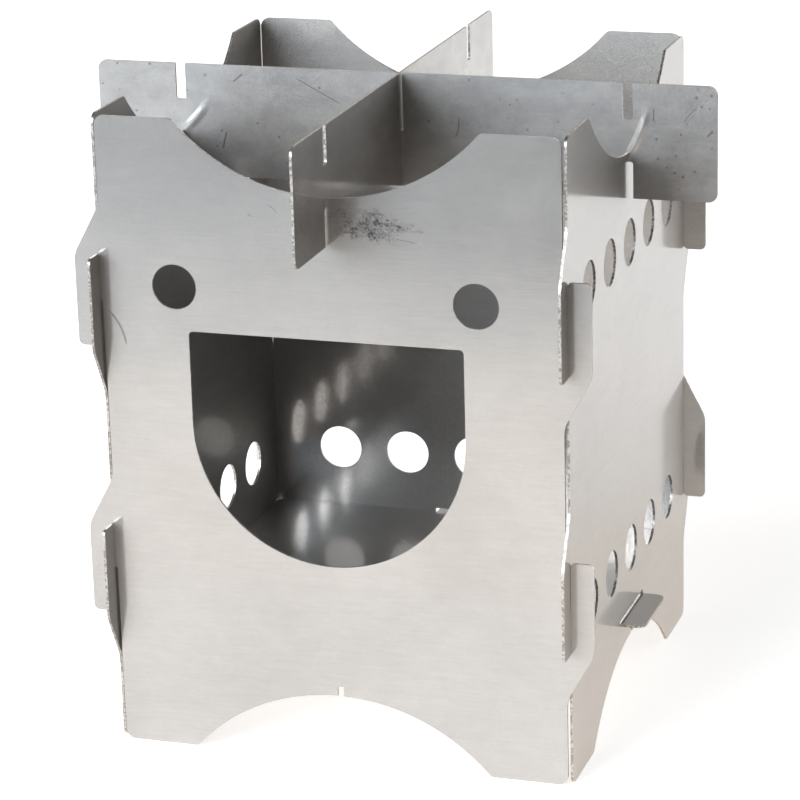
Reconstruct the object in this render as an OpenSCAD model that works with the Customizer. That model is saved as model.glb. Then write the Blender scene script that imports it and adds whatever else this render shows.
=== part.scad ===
// Flat pack hobo stove: four wall plates that hook into each other, a floor plate and two pot supports.
// Everything is laser cut from one thickness of stainless sheet, and nothing is bent, welded or screwed.
// Millimetres. The stove stands on z = 0, its middle is on the z axis and its front faces -y.

/* [Stove box] */
// Outside width of the box, from wall face to wall face
box_w = 146; // [140:1:156]
// Height of the wall plates
wall_h = 200; // [194:1:212]
// Thickness of the sheet
sheet_t = 0.8; // [0.6:0.1:1.2]
// Width of the slots and seats that another sheet plugs into
slot_w = 1.9; // [1.7:0.1:2.4]
// Corner radius of the wall plates and of the floor plate
plate_r = 3; // [1:0.5:5]

/* [Curved edges] */
// Width of the round cut-out in the top and in the bottom edge of a wall
curve_w = 95; // [84:1:100]
// Depth of that cut-out at its middle
curve_d = 21.5; // [18:0.5:23]
// Radius of the two corners where the cut-out meets the straight edge
curve_corner_r = 2; // [1:0.5:4]
// Depth of the small seat in the middle of the cut-out, which a pot support stands in
seat_d = 3; // [2:0.5:4]

/* [Corner hooks] */
// Width of the tongue of a hook
hook_w = 7.1; // [5:0.1:9]
// Length of a hook, from its square tip to where its slanted side meets the plate
hook_l = 44; // [38:1:50]
// Height of the slanted side of a hook
hook_slant_h = 15.5; // [12:0.5:18]
// Radius at both ends of the slanted side
hook_slant_r = 9; // [4:0.5:12]
// Radius of the outer corner of a hook's tip
hook_tip_r = 1.8; // [1:0.1:3]
// Radius of the inner corner of a hook's tip
hook_inner_r = 1.1; // [0.5:0.1:2]
// Depth of the slit behind the tongue
slit_d = 14.5; // [10:0.5:18]
// Distance between the two hooks on one edge
hook_pitch = 86; // [80:1:92]
// Gap between a hook's tongue and the wall that is plugged in behind it
hook_gap = 0.1; // [0.1:0.05:0.5]
// Gap between the straight side edges of the right, back and left walls and the wall beside them
edge_gap = 0.1; // [0.1:0.05:0.5]
// The same gap at the front wall's side edges
front_edge_gap = 0.55; // [0.1:0.05:0.6]

/* [Front plate] */
// Diameter of the two round holes above the feed opening
front_hole_d = 14; // [10:0.5:18]
// Distance between those two holes
front_hole_pitch = 94; // [80:1:98]
// Distance of their middles below the plate's top edge
front_hole_drop = 51.5; // [44:0.5:56]
// Width of the feed opening
feed_w = 86; // [70:1:96]
// Distance of the feed opening's straight top edge below the plate's top edge
feed_drop = 65; // [62:0.5:72]
// Height of the feed opening's straight sides, above its half round lower part
feed_side_h = 28.5; // [20:0.5:32]
// Radius of the feed opening's upper corners
feed_corner_r = 1.5; // [1:0.5:4]
// How far the holes and the feed opening sit to one side of the plate's middle
cut_shift = -1.5; // [-3:0.5:3]

/* [Air holes] */
// Diameter of an air hole
air_d = 15; // [10:0.5:18]
// Distance between neighbouring air holes
air_pitch = 24.3; // [20:0.1:26]
// Number of air holes in a row
air_count = 5; // [3:1:5]
// Height of the lower row, and distance of the upper row from the top edge
air_z = 50; // [46:0.5:54]

/* [Floor plate] */
// Height of the floor plate's underside, which is the lower side of its slots
floor_z = 28.6; // [27.6:0.1:34]
// Gap between the floor plate and each wall
floor_gap = 0.2; // [0.1:0.1:1]
// Width of a floor tab
tab_w = 28; // [20:1:36]
// How far a tab shows outside the wall
tab_reach = 7.7; // [4:0.1:10]
// Radius of a tab's outer corners
tab_r = 3; // [1:0.5:4]
// Gap between a tab and each end of its slot
tab_gap = 0.7; // [0.4:0.1:1.2]

/* [Pot supports] */
// Length of a pot support
support_l = 201; // [194:1:216]
// Height of a pot support
support_h = 36; // [32:1:40]
// Corner radius of a pot support
support_r = 2.8; // [1:0.1:4]
// Width of the slits that straddle the walls
straddle_w = 3.3; // [2.4:0.1:4]
// Radius of the closed corners of those slits
straddle_r = 0.8; // [0.2:0.1:0.8]
// Gap between the two pot supports where each one's middle slit ends
lap_gap = 0.6; // [0.4:0.1:1]
// Radius of the lead-in at the mouth of the middle slit
lead_in_r = 1.2; // [0.5:0.1:2]

/* [Hidden] */
$fn = 96;
steel = [0.78, 0.78, 0.78];
floor_steel = [0.60, 0.60, 0.59];
support_steel = [0.66, 0.66, 0.68];
quarter = 90;
half_turn = 180;
// How far a cut runs past the sheet
overrun = 1;
// How far corner pieces reach beyond their corner, as a share of their own size
corner_lap_share = 1.2;
// Middle plane of each wall, measured from the middle of the stove
wall_plane = box_w / 2 - sheet_t / 2;
// The front wall's straight side edge, and those of the other three walls. They are also the near
// side of the slits.
front_side_x = box_w / 2 - sheet_t - front_edge_gap;
vented_side_x = box_w / 2 - sheet_t - edge_gap;
// Near and far side of a hook's tongue
tongue_x = box_w / 2 + hook_gap;
hook_x = tongue_x + hook_w;
// Heights at which the hooks of neighbouring walls cross, where their slits end
cross_z = [(wall_h - hook_pitch) / 2, (wall_h + hook_pitch) / 2];
// Radius of the round cut-out, and the middle of its circle in the top edge
curve_r = (pow(curve_w / 2, 2) + pow(curve_d, 2)) / (2 * curve_d);
curve_middle = [0, wall_h - curve_d + curve_r];
seat_z = wall_h - curve_d - seat_d;
feed_top_z = wall_h - feed_drop;
feed_middle = [cut_shift, feed_top_z - feed_side_h];
// The pot supports end flush with the tops of the walls
straddle_d = support_h - curve_d - seat_d;
support_z = seat_z - straddle_d;
lap_d = support_h / 2 + lap_gap / 2;
floor_w = box_w - 2 * sheet_t - 2 * floor_gap;

function toward(angle) = [cos(angle), sin(angle)];

// The part between a corner and the arc that rounds it. The corner's two edges leave it at the given
// angles, less than half a turn apart. It is cut from an outside corner or added to an inside one.
module corner_piece(corner, edge_a, edge_b, r) {
    half = abs(edge_a - edge_b) / 2;
    along = r / tan(half);
    middle = corner + r / sin(half) * toward((edge_a + edge_b) / 2);
    kite = [corner, corner + along * toward(edge_a), middle, corner + along * toward(edge_b)];
    translate(middle)
        difference() {
            polygon([for (point = kite) (point - middle) * corner_lap_share]);
            circle(r);
        }
}

module rounded_rectangle(size, r) {
    difference() {
        translate(-size / 2)
            square(size);
        corner_piece([-size.x, -size.y] / 2, 0, quarter, r);
        corner_piece([size.x, -size.y] / 2, quarter, half_turn, r);
        corner_piece([size.x, size.y] / 2, half_turn, 3 * quarter, r);
        corner_piece([-size.x, size.y] / 2, -quarter, 0, r);
    }
}

// Draws its children as they are, and turned half a turn about the middle of the wall plate
module both_ways_up() {
    children();
    translate([0, wall_h])
        rotate(half_turn)
            children();
}

// A hook on a plate's left side edge, seen from outside. It points down, and its slit ends at height z.
module hook(z, side_x) {
    slant_angle = atan2(hook_slant_h, hook_x - side_x);
    tip_z = z - slit_d;
    slant_top = tip_z + hook_l;
    slant_bottom = slant_top - hook_slant_h;
    difference() {
        union() {
            polygon([[-hook_x, z], [-side_x + overrun, z], [-side_x + overrun, slant_top], [-side_x, slant_top],
                     [-hook_x, slant_bottom]]);
            translate([-hook_x, tip_z])
                square([hook_w, slit_d + overrun]);
            corner_piece([-side_x, slant_top], quarter, half_turn + slant_angle, hook_slant_r);
        }
        corner_piece([-hook_x, slant_bottom], -quarter, slant_angle, hook_slant_r);
        corner_piece([-hook_x, tip_z], 0, quarter, hook_tip_r);
        corner_piece([-tongue_x, tip_z], quarter, half_turn, hook_inner_r);
    }
}

// The round cut-out in the top edge of a wall, with its rounded corners and the seat in its middle
module curved_edge() {
    drop = curve_middle.y - wall_h + curve_corner_r;
    corner_x = sqrt(pow(curve_r + curve_corner_r, 2) - pow(drop, 2));
    translate(curve_middle)
        circle(curve_r);
    for (side = [0, 1])
        mirror([side, 0])
            difference() {
                polygon([curve_middle, [corner_x, wall_h - curve_corner_r], [corner_x, wall_h]]);
                translate([corner_x, wall_h - curve_corner_r])
                    circle(curve_corner_r);
            }
    translate([-slot_w / 2, seat_z])
        square([slot_w, curve_d]);
}

// Outline of a wall with side edges that far from its middle, seen from outside with the stove's
// upright along y
module wall_outline(side_x) {
    difference() {
        union() {
            translate([0, wall_h / 2])
                rounded_rectangle([2 * side_x, wall_h], plate_r);
            both_ways_up()
                for (z = cross_z)
                    hook(z, side_x);
        }
        both_ways_up()
            curved_edge();
    }
}

// A half round lower part under a straight sided upper part
module feed_opening() {
    left = feed_middle.x - feed_w / 2;
    right = feed_middle.x + feed_w / 2;
    intersection() {
        translate(feed_middle)
            circle(feed_w / 2);
        translate([left - overrun, feed_middle.y - feed_w])
            square([feed_w + 2 * overrun, feed_w + overrun]);
    }
    difference() {
        translate([left, feed_middle.y])
            square([feed_w, feed_side_h]);
        corner_piece([left, feed_top_z], -quarter, 0, feed_corner_r);
        corner_piece([right, feed_top_z], half_turn, 3 * quarter, feed_corner_r);
    }
}

module air_hole_row(z) {
    for (hole = [0 : air_count - 1])
        translate([(hole - (air_count - 1) / 2) * air_pitch, z])
            circle(d = air_d);
}

module floor_slot() {
    translate([-tab_w / 2 - tab_gap, floor_z])
        square([tab_w + 2 * tab_gap, slot_w]);
}

// Stands a flat shape up as a wall on the side that lies that many quarter turns round from the front
module stand_wall(turns) {
    rotate([0, 0, turns * quarter])
        translate([0, -wall_plane + sheet_t / 2, 0])
            rotate([quarter, 0, 0])
                linear_extrude(sheet_t)
                    children();
}

// The three plain walls: two rows of air holes, and a slot for a floor tab
module vented_wall(turns) {
    color(steel)
        stand_wall(turns)
            difference() {
                wall_outline(vented_side_x);
                air_hole_row(air_z);
                air_hole_row(wall_h - air_z);
                floor_slot();
            }
}

module front_wall() {
    color(steel)
        stand_wall(0)
            difference() {
                wall_outline(front_side_x);
                feed_opening();
                for (side = [-1, 1])
                    translate([cut_shift + side * front_hole_pitch / 2, wall_h - front_hole_drop])
                        circle(d = front_hole_d);
            }
}

module right_wall() {
    vented_wall(1);
}

module back_wall() {
    vented_wall(2);
}

module left_wall() {
    vented_wall(3);
}

// Floor of the fire, held by tabs in the right, back and left walls
module floor_plate() {
    tab_l = box_w / 2 + tab_reach;
    color(floor_steel)
        translate([0, 0, floor_z])
            linear_extrude(sheet_t) {
                rounded_rectangle([floor_w, floor_w], plate_r);
                for (turn = [0, quarter, half_turn])
                    rotate(turn)
                        difference() {
                            translate([0, -tab_w / 2])
                                square([tab_l, tab_w]);
                            corner_piece([tab_l, -tab_w / 2], quarter, half_turn, tab_r);
                            corner_piece([tab_l, tab_w / 2], half_turn, 3 * quarter, tab_r);
                        }
            }
}

// A slit in the top edge of a pot support, which straddles a wall
module straddle_slit() {
    difference() {
        translate([-straddle_w / 2, support_h - straddle_d])
            square([straddle_w, straddle_d + overrun]);
        corner_piece([-straddle_w / 2, support_h - straddle_d], 0, quarter, straddle_r);
        corner_piece([straddle_w / 2, support_h - straddle_d], quarter, half_turn, straddle_r);
    }
}

// Outline of a pot support, with its middle slit open at the top. Its end slits are the same both ways up.
module support_outline() {
    difference() {
        translate([0, support_h / 2])
            rounded_rectangle([support_l, support_h], support_r);
        for (side = [-1, 1])
            translate([side * wall_plane, 0]) {
                straddle_slit();
                translate([0, support_h])
                    mirror([0, 1])
                        straddle_slit();
            }
        translate([-slot_w / 2, support_h - lap_d])
            square([slot_w, lap_d + overrun]);
        corner_piece([-slot_w / 2, support_h], half_turn, 3 * quarter, lead_in_r);
        corner_piece([slot_w / 2, support_h], -quarter, 0, lead_in_r);
    }
}

// Runs from left to right, and its middle slit takes the upper pot support
module lower_pot_support() {
    color(support_steel)
        translate([0, sheet_t / 2, support_z])
            rotate([quarter, 0, 0])
                linear_extrude(sheet_t)
                    support_outline();
}

// The same plate upside down, from front to back
module upper_pot_support() {
    color(support_steel)
        rotate([0, 0, quarter])
            translate([0, sheet_t / 2, support_z])
                rotate([quarter, 0, 0])
                    linear_extrude(sheet_t)
                        translate([0, support_h])
                            mirror([0, 1])
                                support_outline();
}

front_wall();
right_wall();
back_wall();
left_wall();
floor_plate();
lower_pot_support();
upper_pot_support();
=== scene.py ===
import bpy
from math import cos, pi, radians, sin
from mathutils import Matrix, Vector

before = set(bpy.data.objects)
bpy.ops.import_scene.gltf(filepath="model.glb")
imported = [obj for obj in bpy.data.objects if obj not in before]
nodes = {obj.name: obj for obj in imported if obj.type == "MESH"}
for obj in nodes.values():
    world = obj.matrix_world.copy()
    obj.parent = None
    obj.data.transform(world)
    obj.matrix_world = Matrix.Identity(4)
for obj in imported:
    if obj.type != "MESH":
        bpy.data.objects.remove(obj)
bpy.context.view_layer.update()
scene = bpy.context.scene
scene.view_settings.view_transform = "Standard"

# Studio and camera
# The stove stands on pale paper in front of a white backdrop, which the steel mirrors too. Window light
# comes from low down at the front left, with one narrow bright pane almost straight ahead and a little
# light from overhead. The rest of the room is dim.

camera_place = (0.31767, -0.96624, 0.42318)
turned_left, looking_down, tipped = 0.32011, 0.31328, -0.02694
camera_data = bpy.data.cameras.new("camera")
camera_data.sensor_width = 36
camera_data.lens = 150.99
camera_data.clip_start = 0.05
camera = bpy.data.objects.new("camera", camera_data)
scene.collection.objects.link(camera)
aim = (Matrix.Rotation(turned_left, 4, "Z") @ Matrix.Rotation(pi / 2 - looking_down, 4, "X")
       @ Matrix.Rotation(tipped, 4, "Z"))
camera.matrix_world = Matrix.Translation(camera_place) @ aim
scene.camera = camera


class Finish:
    """Short way to write the shader nodes of a finish, or those of the studio's light."""

    def __init__(self, tree):
        self.tree = tree
        tree.nodes.clear()

    def add(self, kind, inputs=(), **settings):
        """A node with its settings and its inputs, each of which is a value or another node's output."""
        made = self.tree.nodes.new(kind)
        for name, value in settings.items():
            setattr(made, name, value)
        for name, value in dict(inputs).items():
            socket = made.inputs[name]
            if isinstance(value, bpy.types.NodeSocket):
                self.tree.links.new(value, socket)
            else:
                socket.default_value = value
        return made

    def math(self, operation, *numbers):
        return self.add("ShaderNodeMath", enumerate(numbers), operation=operation).outputs[0]

    def vector(self, operation, *vectors):
        """Arithmetic on vectors. A dot product, a length and a distance come out as numbers."""
        made = self.add("ShaderNodeVectorMath", enumerate(vectors), operation=operation)
        return made.outputs["Value" if operation in ("DOT_PRODUCT", "LENGTH", "DISTANCE") else "Vector"]

    def between(self, value, low, high, to_low=0.0, to_high=1.0):
        """Eases from to_low to to_high as value goes from low to high, and stays there beyond them."""
        made = self.add("ShaderNodeMapRange", {"Value": value, "From Min": low, "From Max": high,
                                               "To Min": to_low, "To Max": to_high},
                        interpolation_type="SMOOTHSTEP")
        return made.outputs["Result"]

    def mix(self, share, a, b):
        made = self.add("ShaderNodeMix", {"Factor": share, 6: a, 7: b}, data_type="RGBA")
        return made.outputs[2]

    def layered(self, mask, tint, below):
        """A light of one tint, as strong as its mask, laid over the lights below it."""
        return self.vector("MULTIPLY_ADD", mask, tint[:3], below)


def grey(value, warmth=0.0):
    return (value * (1 + warmth), value, value * (1 - warmth), 1)


def way(compass, height):
    """The direction at a compass bearing from +X and a height above the floor, both in degrees."""
    level = cos(radians(height))
    return Vector((level * cos(radians(compass)), level * sin(radians(compass)), sin(radians(height))))


world = bpy.data.worlds.new("studio")
scene.world = world
world.use_nodes = True
sky = Finish(world.node_tree)
direction = sky.add("ShaderNodeTexCoord").outputs["Generated"]
where = sky.add("ShaderNodeSeparateXYZ", {0: direction}).outputs
behind = sky.math("MULTIPLY", sky.between(where["Y"], 0.1, 0.6), sky.between(where["Z"], 0.7, 0.3))
dim_room = (0.02, 0.02, 0.02)
room = sky.layered(behind, grey(1.0), dim_room)
# each light: bearing, height, where its soft edge begins and ends, strength and warmth
for bearing, height, full, gone, strength, warmth in ((-120, 8, 8, 26, 3.6, -0.15),
                                                      (-140, 8, 8, 26, 2.9, 0.04),
                                                      (-120, 26, 8, 26, 4.6, -0.15),
                                                      (-145, 26, 8, 26, 1.9, 0.04),
                                                      (-104, 20, 5, 9, 8.5, 0.05),
                                                      (45, 12, 10, 36, 1.3, 0.0),
                                                      (0, 90, 20, 50, 0.15, 0.0)):
    facing = sky.vector("DOT_PRODUCT", direction, way(bearing, height))
    spread = sky.between(facing, cos(radians(gone)), cos(radians(full)))
    room = sky.layered(spread, grey(strength, warmth), room)
ray = sky.add("ShaderNodeLightPath").outputs
backdrop_seen = sky.math("MAXIMUM", ray["Is Camera Ray"], ray["Is Transmission Ray"])
backdrop = sky.mix(backdrop_seen, room, grey(1.0))
light = sky.add("ShaderNodeBackground", {"Color": backdrop})
sky.add("ShaderNodeOutputWorld", {"Surface": light.outputs[0]})

floor_reach = 2.5
below_feet = -0.0004
floor_mesh = bpy.data.meshes.new("studio_floor")
floor_mesh.from_pydata([(-floor_reach, -floor_reach, 0), (floor_reach, -floor_reach, 0),
                        (floor_reach, floor_reach, 0), (-floor_reach, floor_reach, 0)], [], [(0, 1, 2, 3)])
studio_floor = bpy.data.objects.new("studio_floor", floor_mesh)
studio_floor.location.z = below_feet
scene.collection.objects.link(studio_floor)
floor_paper = bpy.data.materials.new("studio_floor")
floor_paper.use_nodes = True
paper = Finish(floor_paper.node_tree)
ray = paper.add("ShaderNodeLightPath").outputs
spot = paper.add("ShaderNodeTexCoord").outputs["Object"]
# past the paper's front and right edges the steel mirrors a darker floor
ahead = paper.vector("DOT_PRODUCT", spot, (0.5, -0.86, 0))
to_right = paper.vector("DOT_PRODUCT", spot, (1.0, -0.3, 0))
past_paper = paper.math("MAXIMUM", paper.between(ahead, 0.34, 0.64), paper.between(to_right, 0.20, 0.45))
dark_room = paper.math("MULTIPLY", past_paper, paper.math("SUBTRACT", 1.0, ray["Is Camera Ray"]))
matt = paper.add("ShaderNodeBsdfDiffuse", {"Color": paper.mix(dark_room, grey(0.85, 0.02), grey(0.12))})
# painted light: for every ray but the camera's, the paper glows in rings and sectors, brightest near the
# stove and behind it, and this glow lights the steel and shows in its mirror image: from, to, first and last
# bearing, strength, warmth
away = paper.vector("LENGTH", spot)
shine = (0, 0, 0)
soft_edge, soft_side = 0.05, 0.14
for start, end, first, last, strength, warmth in ((0.00, 0.22, -180, 180, 0.61, 0.090),
                                                  (0.22, 0.49, -125, -55, 0.63, 0.150),
                                                  (0.49, 0.64, -125, -55, 0.26, 0.050),
                                                  (0.22, 0.80, 145, 235, 0.30, 0.0),
                                                  (0.22, 1.30, 20, 90, 0.72, 0.01),
                                                  (0.22, 0.90, 90, 145, 1.00, 0.0)):
    ring = paper.math("SUBTRACT", 1.0, paper.between(away, end - soft_edge, end + soft_edge))
    if start > 0:
        ring = paper.math("MULTIPLY", ring, paper.between(away, start - soft_edge, start + soft_edge))
    if last - first < 360:
        middle, half = radians((first + last) / 2), radians((last - first) / 2)
        toward = paper.vector("DOT_PRODUCT", spot, (cos(middle), sin(middle), 0))
        share = paper.math("DIVIDE", toward, paper.math("MAXIMUM", away, 0.01))
        sector = paper.between(share, cos(half + soft_side), cos(half - soft_side))
        ring = paper.math("MULTIPLY", ring, sector)
    shine = paper.layered(ring, grey(strength, warmth), shine)
# the camera sees the paper as an even white glow; every other ray sees the painted glow above
shine = paper.mix(ray["Is Camera Ray"], shine, grey(0.70))
white = paper.add("ShaderNodeEmission", {"Color": shine})
lit = paper.add("ShaderNodeAddShader", {0: matt.outputs[0], 1: white.outputs[0]})
paper.add("ShaderNodeOutputMaterial", {"Surface": lit.outputs[0]})
floor_mesh.materials.append(floor_paper)


# Front wall
# A laser cut plate of bare stainless sheet with the feed opening and two round holes. Its four hooks
# plug into those of the walls beside it. The rolled surface is satin, with a fine level grain, and is
# rubbed dark just below the curved edge, where the upper pot support is pushed on.

class SheetFinish(Finish):
    """The finish of one flat plate. sheet_normal is the way that its flat side faces, and seed picks its
    own stretch of the patterns."""

    def __init__(self, tree, sheet_normal, seed):
        super().__init__(tree)
        self.sheet_normal = sheet_normal
        self.flat_axis = [abs(part) for part in sheet_normal].index(1)
        self.up_axis = 1 if self.flat_axis == 2 else 2
        self.seed = seed
        self.place = self.add("ShaderNodeTexCoord").outputs["Object"]
        self.moved = self.mapped(self.place, Location=(seed * 0.3, seed, seed * 0.6))

    def mapped(self, vector, **mapping):
        return self.add("ShaderNodeMapping", {"Vector": vector, **mapping}).outputs[0]

    def across_grain(self, up, along=1):
        """The plate's own points, squeezed up and down and along the level grain."""
        return self.mapped(self.moved, Scale=[up if axis == self.up_axis else along for axis in range(3)])

    def noise(self, points, scale, detail=1.0, roughness=0.5):
        made = self.add("ShaderNodeTexNoise", {"Vector": points, "Scale": scale, "Detail": detail,
                                               "Roughness": roughness})
        return made.outputs["Fac"]

    def cells(self, points, scale, tint):
        """How far a point lies from the middle of its cell, and a number that differs from cell to cell."""
        made = self.add("ShaderNodeTexVoronoi", {"Vector": points, "Scale": scale})
        tints = self.add("ShaderNodeSeparateColor", {0: made.outputs["Color"]}).outputs
        return made.outputs["Distance"], tints[tint]

    def stroke(self, start, end, half_width, bow):
        """How far a point lies off a thin, slightly bowed line, and its share of the way along it."""
        run = Vector(end) - Vector(start)
        beside = run.cross(self.sheet_normal).normalized() / half_width
        from_start = self.vector("SUBTRACT", self.place, start)
        along = self.vector("DOT_PRODUCT", from_start, run / run.length_squared)
        bowed = self.math("MULTIPLY", along, self.math("SUBTRACT", 1.0, along))
        sag = self.math("MULTIPLY", bowed, 4 * bow / half_width)
        off = self.math("SUBTRACT", self.vector("DOT_PRODUCT", from_start, beside), sag)
        return self.math("ABSOLUTE", off), along

    def near_middle(self, along, middle, none, full):
        """1 around the middle of a stroke, easing to 0 at its ends."""
        return self.between(self.math("ABSOLUTE", self.math("SUBTRACT", along, middle)), none, full)

    def scratched(self, marks, dents):
        """How deep the sheet is scratched or pitted, from 0 to 1. The fine scratches are cells stretched
        very long, of which only the thin middle line of a few shows."""
        scratch = 0.0
        # three sets of fine scratches that cross: angle, how close, how long and what share is kept
        for angle, density, length, share in ((0.35, 260, 0.022, 0.30), (1.15, 230, 0.035, 0.22),
                                              (2.5, 310, 0.028, 0.30)):
            spin = [0.0, 0.0, 0.0]
            spin[self.flat_axis] = angle + self.seed
            squeeze = [1.0, 1.0, 1.0]
            squeeze[(self.flat_axis + 1) % 3] = length
            squeeze[self.flat_axis] = 0.001
            turned = self.mapped(self.moved, Rotation=spin)
            distance, tint = self.cells(self.mapped(turned, Scale=squeeze), density, 0)
            kept = self.between(tint, 1 - share, 1 - share * 0.6)
            line = self.math("MULTIPLY", self.between(distance, 0.050, 0.020), kept)
            scratch = self.math("MAXIMUM", scratch, line)
        for start, end, half_width, bow in marks:
            off, along = self.stroke(start, end, half_width, bow)
            line = self.math("MULTIPLY", self.between(off, 1.0, 0.2), self.near_middle(along, 0.5, 0.5, 0.36))
            scratch = self.math("MAXIMUM", scratch, line)
        for middle, radius in dents:
            away = self.vector("DISTANCE", self.place, middle)
            scratch = self.math("MAXIMUM", scratch, self.between(away, radius, radius * 0.4, 0.0, 0.9))
        return scratch

    def specked(self, share):
        """Where a small dark speck lies, in a share of the cells."""
        distance, tint = self.cells(self.moved, 230, 1)
        return self.math("MULTIPLY", self.between(distance, 0.13, 0.05),
                         self.between(tint, 1 - share, 1 - share * 0.7))

    def rubbed_dark(self, middle, half_wide, half_high):
        """Where a patch is rubbed dark: a scribble of broken curls over a soft smear."""
        squeeze = [1 / half_wide] * 3
        squeeze[self.up_axis] = 1 / half_high
        squeeze[self.flat_axis] = 0.0
        reach = self.vector("LENGTH", self.mapped(self.vector("SUBTRACT", self.place, middle), Scale=squeeze))
        ragged = self.between(self.noise(self.moved, 260, 2, 0.6), 0.3, 0.7, -0.55, 0.55)
        patchy = self.math("ADD", reach, ragged)
        curls = 0.0
        for scale in (520, 860, 1300):
            wander = self.noise(self.across_grain(1.3), scale)
            loops = self.math("ABSOLUTE", self.math("SUBTRACT", wander, 0.5))
            broken = self.between(self.noise(self.moved, scale * 1.7), 0.44, 0.52)
            curls = self.math("MAXIMUM", curls,
                              self.math("MULTIPLY", self.between(loops, 0.042, 0.010), broken))
        scribble = self.math("MULTIPLY", curls, self.between(patchy, 1.9, 0.5))
        smear = self.between(patchy, 1.2, 0.1, 0.0, 0.40)
        return self.math("MAXIMUM", scribble, smear)

    def cut_edge(self):
        """1 on the cut edges of the plate and 0 on its flat sides."""
        facing = self.add("ShaderNodeVectorTransform",
                          {0: self.add("ShaderNodeNewGeometry").outputs["True Normal"]},
                          vector_type="NORMAL", convert_from="WORLD", convert_to="OBJECT").outputs[0]
        across = self.add("ShaderNodeSeparateXYZ", {0: facing}).outputs[self.flat_axis]
        return self.between(self.math("ABSOLUTE", across), 0.75, 0.55)

    def pressed(self, height, strength, rise, under=None):
        """The surface raised by a pattern of heights, over the one that was pressed before it."""
        inputs = {"Height": height, "Strength": strength, "Distance": rise}
        if under:
            inputs["Normal"] = under
        return self.add("ShaderNodeBump", inputs).outputs[0]


def stainless(name, sheet_normal, seed, tone=0.54, dull=0.0, stains=0.015, scratches=0.4, specks=0.06,
              marks=(), dents=(), rubbed=None, creases=()):
    """Bare rolled sheet steel: level grain, cloudy gloss, fine scratches and specks, and bright cut edges.
    dull makes its mirror image weaker, and stains is how much its grey varies in small blots. marks are
    single long scratches and creases are folds pressed up in the sheet, each as a start, an end, a half
    width and a bow, and a crease also has a height. dents are the middles and radii of small dark pits.
    rubbed is the middle of a patch of dark scribbles and its half width and half height."""
    steel = bpy.data.materials.new(name)
    steel.use_nodes = True
    sheet = SheetFinish(steel.node_tree, sheet_normal, seed)
    grain = sheet.noise(sheet.across_grain(22), 85, 3, 0.6)
    streaks = sheet.noise(sheet.across_grain(60), 9, 3, 0.55)
    clouds = sheet.noise(sheet.moved, 24, 3, 0.6)
    blots = sheet.noise(sheet.across_grain(1.6), 110, 4, 0.65)
    dust = sheet.noise(sheet.moved, 700, 2)
    scratch = sheet.scratched(marks, dents)
    speck = sheet.specked(specks)
    cut_edge = sheet.cut_edge()

    # colour: a slightly warm grey, darker in scratches and specks, with short cross lines on the cut edges
    shade = 0.5
    for pattern, amount in ((grain, 0.020), (streaks, 0.006), (clouds, 0.030), (blots, stains),
                            (dust, 0.010)):
        shade = sheet.math("ADD", shade, sheet.between(pattern, 0.3, 0.7, -amount, amount))
    warmth, shade_range = 0.036, 0.32
    face = sheet.mix(shade, grey(tone - shade_range, warmth), grey(tone + shade_range, warmth))
    face = sheet.mix(sheet.math("MULTIPLY", scratch, scratches), face, grey(0.16))
    face = sheet.mix(sheet.math("MULTIPLY", speck, 0.75), face, grey(0.17, -0.05))
    if rubbed:
        face = sheet.mix(sheet.rubbed_dark(*rubbed), face, grey(0.12, 0.02))
    cut_lines = sheet.between(sheet.noise(sheet.moved, 1300), 0.40, 0.60)
    edge_tone = sheet.mix(cut_lines, grey(0.26, 0.10), grey(0.58, 0.08))
    colour = sheet.mix(cut_edge, face, edge_tone)

    # gloss: a sharp mirror image under a wide haze, mixed at a grain too fine to see
    gloss = sheet.between(clouds, 0.25, 0.75, 0.09, 0.16)
    haze = sheet.noise(sheet.across_grain(25, 8), 1000)
    gloss = sheet.math("ADD", gloss, sheet.between(haze, 0.48 - dull, 0.56 - dull, 0.0, 0.45))
    gloss = sheet.math("ADD", gloss, sheet.math("MULTIPLY", scratch, 0.15))
    gloss = sheet.mix(cut_edge, gloss, grey(0.40))

    # surface: the fine grain with the scratches cut into it, the slight waves of rolled sheet, and creases
    height = sheet.math("ADD", sheet.math("MULTIPLY", grain, 0.25), sheet.math("MULTIPLY", dust, 0.06))
    height = sheet.math("SUBTRACT", height, sheet.math("MULTIPLY", scratch, 0.5))
    surface = sheet.pressed(height, 0.55, 0.00002)
    surface = sheet.pressed(sheet.noise(sheet.moved, 9, 1, 0.4), 0.5, 0.0006, surface)
    for start, end, half_width, bow, rise in creases:
        off, along = sheet.stroke(start, end, half_width, bow)
        fold = sheet.math("MULTIPLY", sheet.between(off, 1.0, 0.0), sheet.near_middle(along, 0.4, 0.6, 0.1))
        surface = sheet.pressed(fold, 1.0, rise, surface)

    shader = sheet.add("ShaderNodeBsdfPrincipled", {"Base Color": colour, "Metallic": 1.0,
                                                    "Roughness": gloss, "Normal": surface})
    sheet.add("ShaderNodeOutputMaterial", {"Surface": shader.outputs[0]})
    return steel


def dress_sheet(node, steel):
    """Gives a plate its steel and breaks its sharp cut edges by a tenth of a millimetre."""
    plate = nodes[node]
    plate.data.materials.clear()
    plate.data.materials.append(steel)
    edge = plate.modifiers.new("broken_edges", "BEVEL")
    edge.width = 0.00011
    edge.segments = 2
    edge.limit_method = "ANGLE"
    edge.angle_limit = radians(50)


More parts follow.
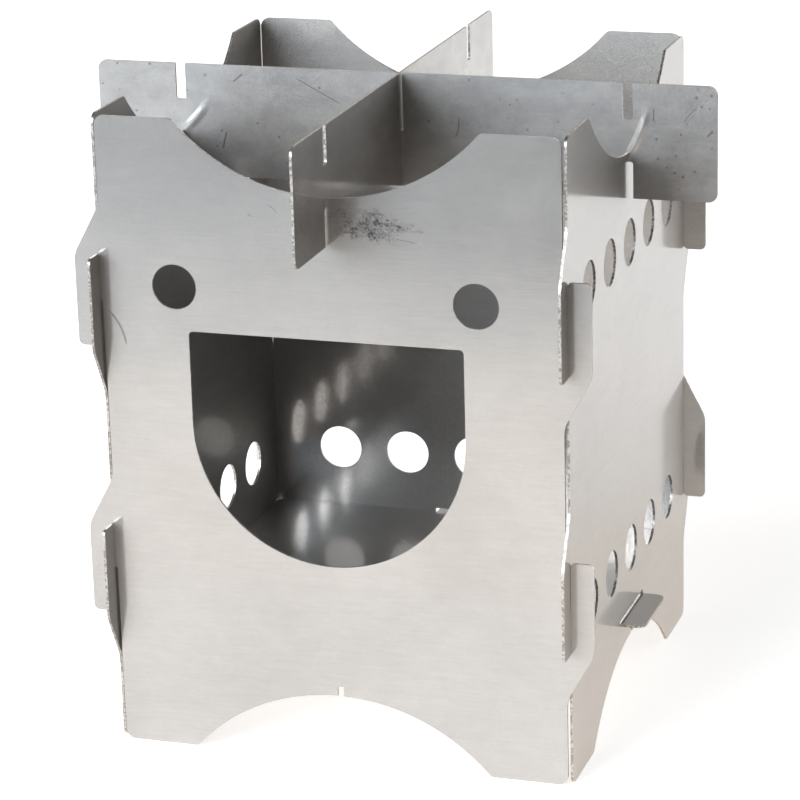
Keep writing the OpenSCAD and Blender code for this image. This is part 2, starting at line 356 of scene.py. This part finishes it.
front_face = -0.0734
hook_scratch = ((-0.0702, front_face, 0.1400), (-0.0648, front_face, 0.1290), 0.00050, 0.0012)
scratches_under_curve = (((-0.0177, front_face, 0.1753), (-0.0153, front_face, 0.1730), 0.00022, 0.0006),
                         ((-0.0241, front_face, 0.1725), (-0.0229, front_face, 0.1717), 0.00022, 0.0),
                         ((0.0145, front_face, 0.1745), (0.0190, front_face, 0.1745), 0.00016, 0.0),
                         ((0.0215, front_face, 0.1675), (0.0280, front_face, 0.1665), 0.00018, 0.0))
rubbed_patch = ((0.0138, front_face, 0.1705), 0.0085, 0.0032)
dress_sheet("front_wall", stainless("front_wall_steel", (0, 1, 0), 0.0, tone=0.52, scratches=0.6,
                                    marks=(hook_scratch, *scratches_under_curve), rubbed=rubbed_patch))

# Right wall
# The same plate with two rows of five round air holes and a slot that takes a tab of the floor plate.
# Its own hooks lie in the slits of the front and back walls.

right_face = 0.0734
corner_scratch = ((right_face, -0.0660, 0.1970), (right_face, -0.0645, 0.1955), 0.0003, 0.0)
dress_sheet("right_wall", stainless("right_wall_steel", (1, 0, 0), 1.7, marks=(corner_scratch,)))

# Back wall
# Cut to the same drawing as the right wall. It is seen through the feed opening, where its inner face
# mirrors the left wall's air holes.

# painted light: tone 0.62 makes this wall's steel lighter than the other walls' to brighten its inner face
# seen through the feed opening
dress_sheet("back_wall", stainless("back_wall_steel", (0, 1, 0), 3.1, tone=0.62, dull=0.04))

# Left wall
# Cut to the same drawing as the right wall, and hooked to the front and back walls in the same way.
# Inside, its mirror image is the dullest of the four, and its grey is set the darkest, as painted shade for
# the shade inside the stove.

# painted shade: tone 0.35 makes this wall's steel darker than the other walls' to stand for the shade inside
# the stove
dress_sheet("left_wall", stainless("left_wall_steel", (1, 0, 0), 4.6, tone=0.35, dull=0.13))

# Floor plate
# A square plate of the same sheet. It has three tabs that stick out through slots in the right, back
# and left walls, and the fire burns on it.

dress_sheet("floor_plate", stainless("floor_plate_steel", (0, 0, 1), 6.3, tone=0.49, dull=0.06))

# Lower pot support
# A long narrow plate of the same sheet that stands on edge across the stove, with its end slits over the
# left and right walls. Handling has left dark scratches and specks on it, and it is creased a little
# above both lower slits, where it has been pushed over the walls.

support_face = -0.0004
support_marks = (((-0.0346, 0, 0.1971), (-0.0189, 0, 0.1890), 0.00024, 0.0),
                 ((0.0188, 0, 0.1873), (0.0175, 0, 0.1802), 0.00026, 0.0008),
                 ((0.0807, 0, 0.1926), (0.0807, 0, 0.1882), 0.00034, 0.0),
                 ((0.0939, 0, 0.1934), (0.0896, 0, 0.1882), 0.00022, 0.0),
                 ((0.0972, 0, 0.1844), (0.0992, 0, 0.1864), 0.00042, 0.0),
                 ((-0.0551, 0, 0.1946), (-0.0515, 0, 0.1975), 0.00040, 0.0),
                 ((-0.0577, 0, 0.1787), (-0.0593, 0, 0.1728), 0.00044, 0.0))
support_dents = [((along, support_face, height), radius) for along, height, radius in (
    (0.0892, 0.1847, 0.0005), (0.0940, 0.1963, 0.0006), (0.0944, 0.1989, 0.0004), (0.0956, 0.1936, 0.0006),
    (0.0981, 0.1931, 0.0005), (0.0820, 0.1768, 0.0005), (0.0873, 0.1727, 0.0005), (0.0898, 0.1716, 0.0006),
    (0.0935, 0.1734, 0.0005), (0.0986, 0.1971, 0.0006), (0.0848, 0.1742, 0.0004))]
support_creases = (((0.0728, 0, 0.1775), (0.0790, 0, 0.1940), 0.0018, -0.0010, 0.00042),
                   ((-0.0722, 0, 0.1785), (-0.0628, 0, 0.1895), 0.0021, -0.0006, 0.00022))
dress_sheet("lower_pot_support", stainless("lower_pot_support_steel", (0, 1, 0), 8.2, tone=0.475, dull=0.07,
                                           stains=0.06, scratches=0.8, specks=0.40, marks=support_marks,
                                           dents=support_dents, creases=support_creases))

# Upper pot support
# The same plate upside down, from front to back. The two plug into each other at their middle slits.

dress_sheet("upper_pot_support", stainless("upper_pot_support_steel", (1, 0, 0), 9.9, stains=0.05,
                                           scratches=0.7, specks=0.20))
